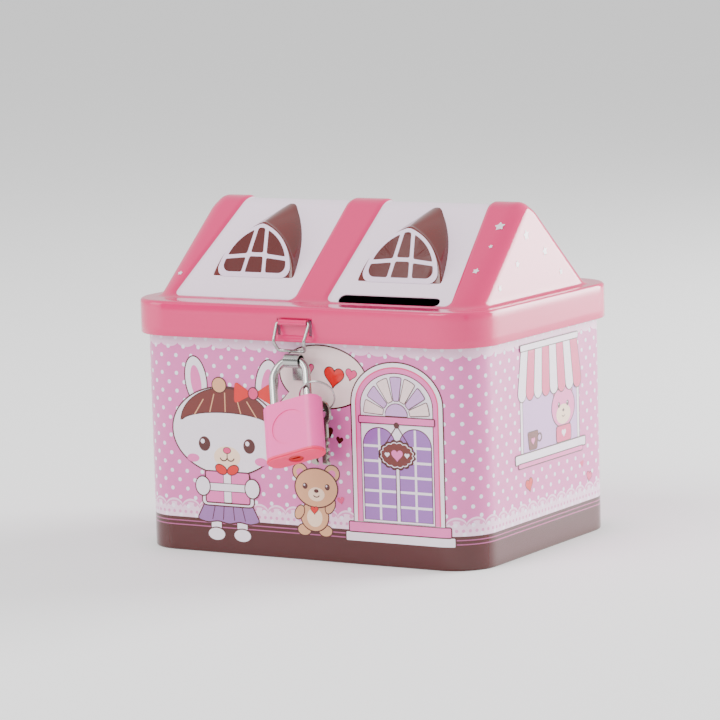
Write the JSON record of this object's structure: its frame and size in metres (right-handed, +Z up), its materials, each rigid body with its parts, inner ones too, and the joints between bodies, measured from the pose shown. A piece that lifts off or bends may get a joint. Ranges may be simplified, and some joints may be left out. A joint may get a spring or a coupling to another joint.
{
  "type": "tin money box",
  "caption": "House-shaped tin money box with a hinged roof lid, coin slot, wire hasp, rolled lock eye and a small hanging padlock with keys.",
  "frame": {"origin": "middle of the base panel's underside", "axes": "+X to the right along the front, -Y out of the front wall, +Z up"},
  "size_m": [0.1458, 0.1381, 0.1243],
  "materials": {
    "printed_wall": "glossy printed tin",
    "brown_tin": "glossy printed tin",
    "pink_tin": "glossy printed tin",
    "bright_steel": "bright plated",
    "plated_steel": "bright plated",
    "pink_plastic": "satin moulded",
    "deep_pink_plastic": "satin moulded",
    "core_metal": "cast",
    "spring_steel": "drawn wire",
    "red_plug": "moulded",
    "key_steel": "stamped"
  },
  "bodies": {
    "box": {"body_shell": "printed_wall", "base_panel": "brown_tin", "lock_eye": "bright_steel", "body_hinge_leaf": "bright_steel", "hinge_pin": "bright_steel"},
    "lid": {"lid_shell": "pink_tin", "skirt_tab": "pink_tin", "lid_hinge_leaf": "bright_steel"},
    "hasp": {"hasp_bail": "bright_steel"},
    "shackle": {"shackle": "plated_steel"},
    "case": {"padlock_jacket": "pink_plastic", "padlock_base": "deep_pink_plastic", "padlock_core": "core_metal", "plug_retainer": "bright_steel", "shackle_spring": "spring_steel", "bolt_spring": "spring_steel"},
    "plug": {"lock_plug": "red_plug"},
    "bolt": {"locking_bolt": "bright_steel"},
    "ring": {"key_ring": "plated_steel"},
    "key_a": {"key_1": "key_steel"},
    "key_b": {"key_2": "key_steel"}
  },
  "joints": [
    {"name": "lid_hinge", "type": "hinge", "parent": "box", "child": "lid", "pos_m": [0, 0.05725, 0.0774], "axis": [-1, 0, 0], "range_deg": [0, 110]},
    {"name": "bail_swing", "type": "hinge", "parent": "lid", "child": "hasp", "pos_m": [0.0007, -0.05683, 0.0855], "axis": [-1, 0, 0], "range_deg": [0, 150]},
    {"name": "padlock_swing", "type": "hinge", "parent": "box", "child": "shackle", "pos_m": [0.0007, -0.05725, 0.072], "axis": [-1, 0, 0], "range_deg": [0, 40]},
    {"name": "case_drop", "type": "slide", "parent": "shackle", "child": "case", "axis": [0.3256, -0.4584, -0.827], "range_m": [0, 0.0065], "deforming": ["shackle_spring"]},
    {"name": "plug_turn", "type": "hinge", "parent": "case", "child": "plug", "pos_m": [0.00806, -0.06986, 0.04926], "axis": [-0.3256, 0.4584, 0.827], "range_deg": [0, 90]},
    {"name": "bolt_slide", "type": "slide", "parent": "case", "child": "bolt", "axis": [-0.9455, -0.1578, -0.2847], "range_m": [0, 0.00161], "deforming": ["bolt_spring"]},
    {"name": "ring_swing", "type": "hinge", "parent": "shackle", "child": "ring", "pos_m": [0.00933, -0.06249, 0.06255], "axis": [0.3256, -0.4584, -0.827], "range_deg": [0, 15]},
    {"name": "key_1_swing", "type": "hinge", "parent": "ring", "child": "key_a", "pos_m": [0.00982, -0.05851, 0.05414], "axis": [0.4602, 0.8878, 0], "range_deg": [-12, 12]},
    {"name": "key_2_swing", "type": "hinge", "parent": "ring", "child": "key_b", "pos_m": [0.01277, -0.05764, 0.05414], "axis": [0.4602, 0.8878, 0], "range_deg": [-12, 12]}
  ],
  "couplings": [
    {"joint": "plug_turn", "follows": "case_drop", "rad_per_m": 241.66},
    {"joint": "bolt_slide", "follows": "case_drop", "ratio": 0.24615}
  ]
}
